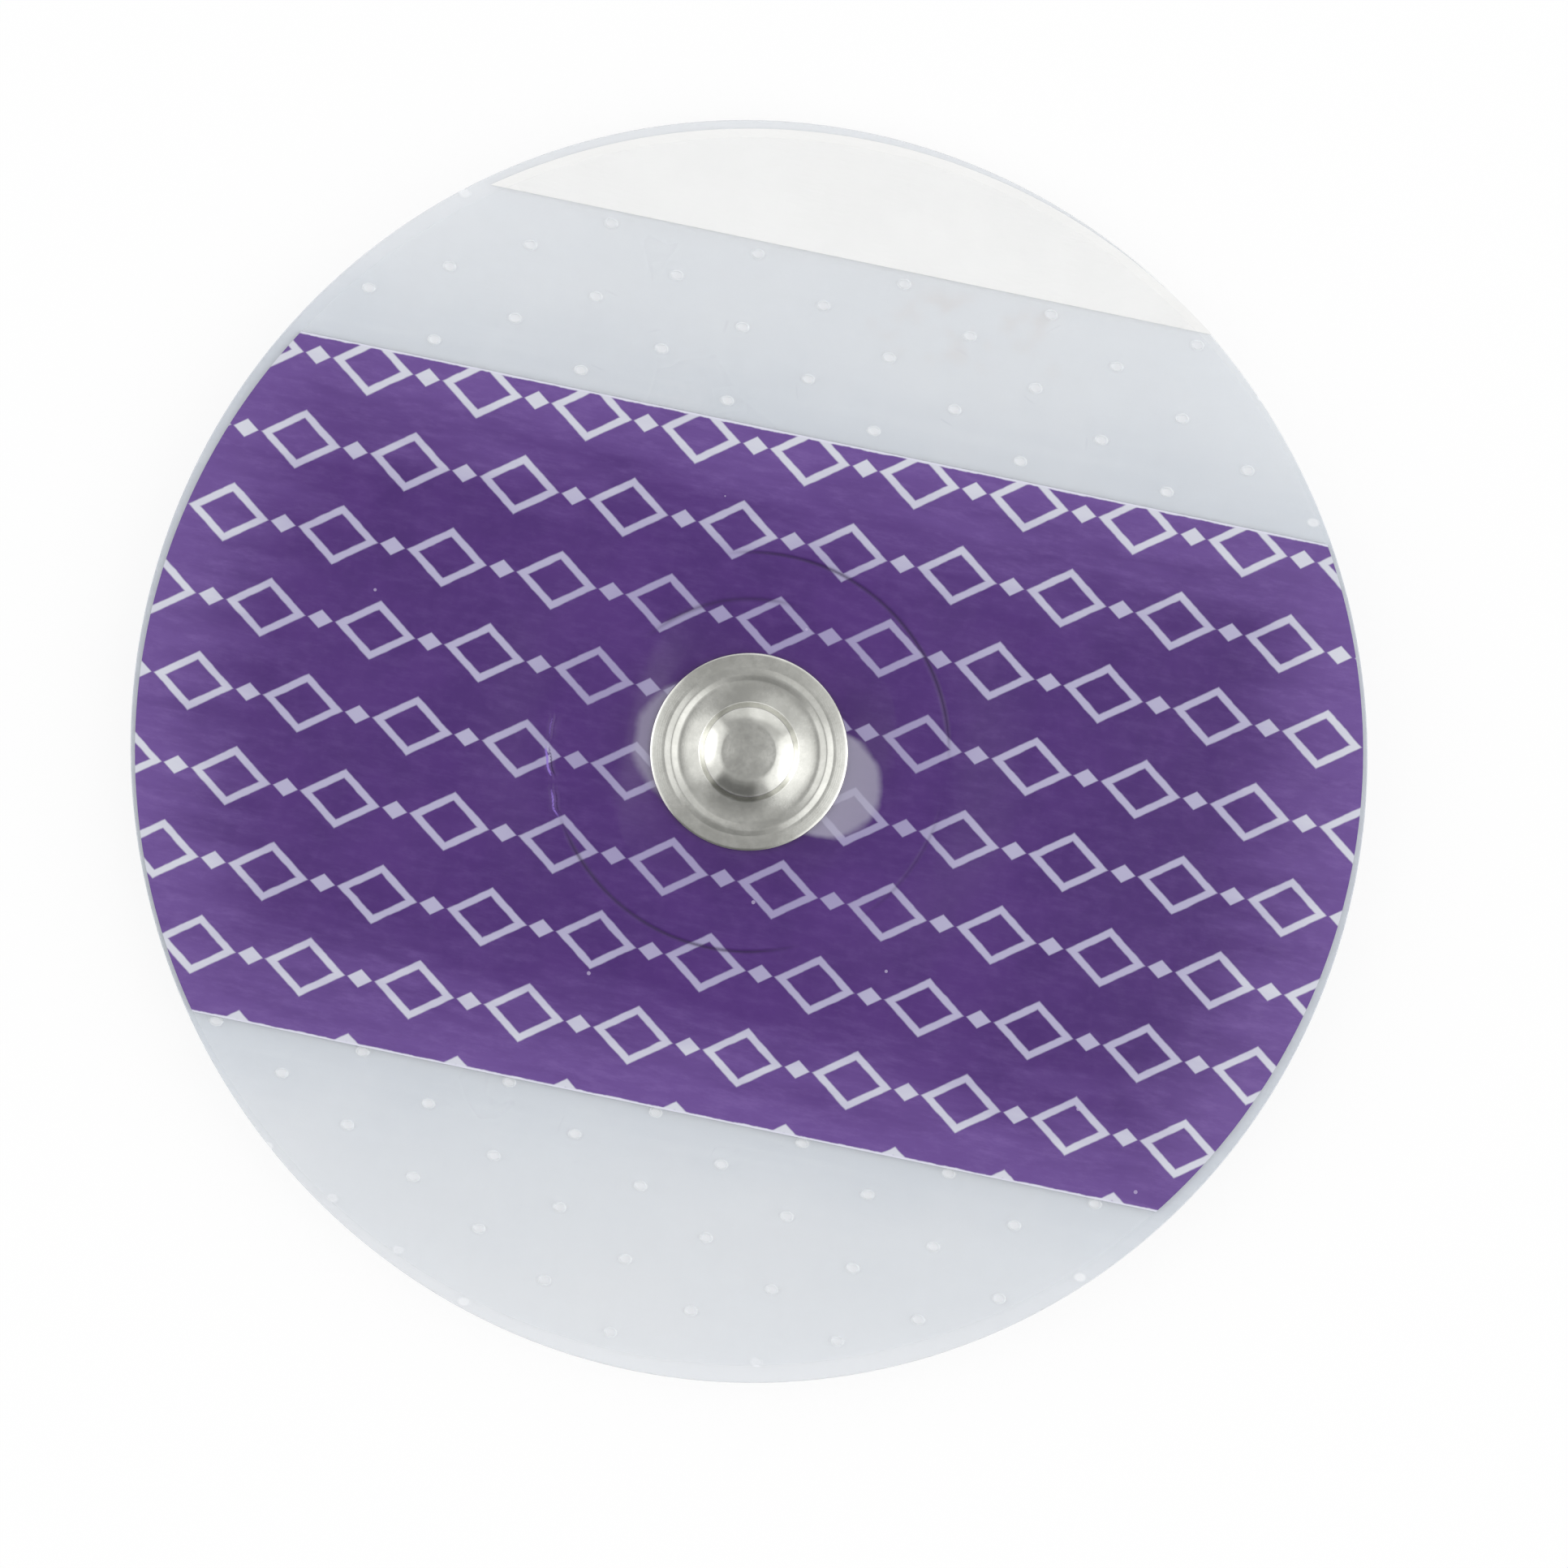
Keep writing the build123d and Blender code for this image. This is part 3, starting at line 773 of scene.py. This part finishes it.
# Pale floor, which glows to the camera, in reflections and through films
floor_mesh = bpy.data.meshes.new("floor")
half, paper_white, paper_glow = 1.5, 0.92, 0.88
corners = [(-half, -half), (half, -half), (half, half), (-half, half)]
floor_mesh.from_pydata([(x, y, -SKIN * MM) for x, y in corners], [], [(0, 1, 2, 3)])
floor = bpy.data.objects.new("floor", floor_mesh)
bpy.context.scene.collection.objects.link(floor)
paper = bpy.data.materials.new("paper")
paper.use_nodes = True
nodes, links = paper.node_tree.nodes, paper.node_tree.links
nodes["Principled BSDF"].inputs["Base Color"].default_value = (paper_white, paper_white, paper_white, 1)
nodes["Principled BSDF"].inputs["Roughness"].default_value = 0.9
glow = nodes.new("ShaderNodeEmission")
glow.inputs["Strength"].default_value = 1.0
path = nodes.new("ShaderNodeLightPath")
seen = nodes.new("ShaderNodeMath")
seen.operation = "MAXIMUM"
links.new(path.outputs["Is Camera Ray"], seen.inputs[0])
links.new(path.outputs["Is Glossy Ray"], seen.inputs[1])
seen_too = nodes.new("ShaderNodeMath")
seen_too.operation = "MAXIMUM"
links.new(seen.outputs[0], seen_too.inputs[0])
links.new(path.outputs["Is Transmission Ray"], seen_too.inputs[1])
share = nodes.new("ShaderNodeMath")
share.operation = "MULTIPLY"
share.inputs[1].default_value = paper_glow
links.new(seen_too.outputs[0], share.inputs[0])
mix = nodes.new("ShaderNodeMixShader")
links.new(share.outputs[0], mix.inputs[0])
links.new(nodes["Principled BSDF"].outputs[0], mix.inputs[1])
links.new(glow.outputs[0], mix.inputs[2])
links.new(mix.outputs[0], nodes["Material Output"].inputs[0])
floor_mesh.materials.append(paper)

# Light tent: bright walls at both ends of the strip, a paler far side, a darker near side, grey above
world = bpy.data.worlds.new("studio")
bpy.context.scene.world = world
world.use_nodes = True
nodes, links = world.node_tree.nodes, world.node_tree.links


def step(operation, a, b=0.0):
    """A math node in the world's shader."""
    node = nodes.new("ShaderNodeMath")
    node.operation = operation
    for socket, value in zip(node.inputs, (a, b)):
        if isinstance(value, bpy.types.NodeSocket):
            links.new(value, socket)
        else:
            socket.default_value = value
    return node.outputs[0]


def slope(value, low, high, top):
    """0 below low and top above high, smooth between them."""
    node = nodes.new("ShaderNodeMapRange")
    node.interpolation_type = "SMOOTHSTEP"
    links.new(value, node.inputs[0])
    for key, number in (("From Min", low), ("From Max", high), ("To Max", top)):
        node.inputs[key].default_value = number
    return node.outputs[0]


direction = nodes.new("ShaderNodeSeparateXYZ")
links.new(nodes.new("ShaderNodeTexCoord").outputs["Generated"], direction.inputs[0])
x, y, _ = direction.outputs
opening = 0.42  # light from every side, which the walls add to
sideways = step("SUBTRACT", step("ABSOLUTE", x), step("MULTIPLY", step("ABSOLUTE", y), 0.70))
sideways = step("SUBTRACT", sideways, step("MULTIPLY", step("MAXIMUM", y, 0.0), 0.5))
walls = step("ADD", slope(sideways, 0.0, 0.19, 0.77), slope(sideways, 0.375, 0.745, 1.35))
right_wall = slope(step("ADD", x, step("MULTIPLY", y, 0.3)), 0.017, 0.174, 0.27)
far_side = step("ADD", slope(y, 0.12, 0.45, 0.04), slope(y, 0.50, 0.85, 0.41))
near_side = step("ADD", slope(y, -0.20, -0.45, -0.12), slope(y, -0.50, -0.80, -0.10))
level = step("ADD", step("ADD", step("ADD", walls, right_wall), opening), step("ADD", far_side, near_side))
links.new(level, nodes["Background"].inputs["Strength"])
nodes["Background"].inputs["Color"].default_value = (1.0, 1.0, 1.0, 1)
bpy.context.scene.view_settings.view_transform = "Standard"
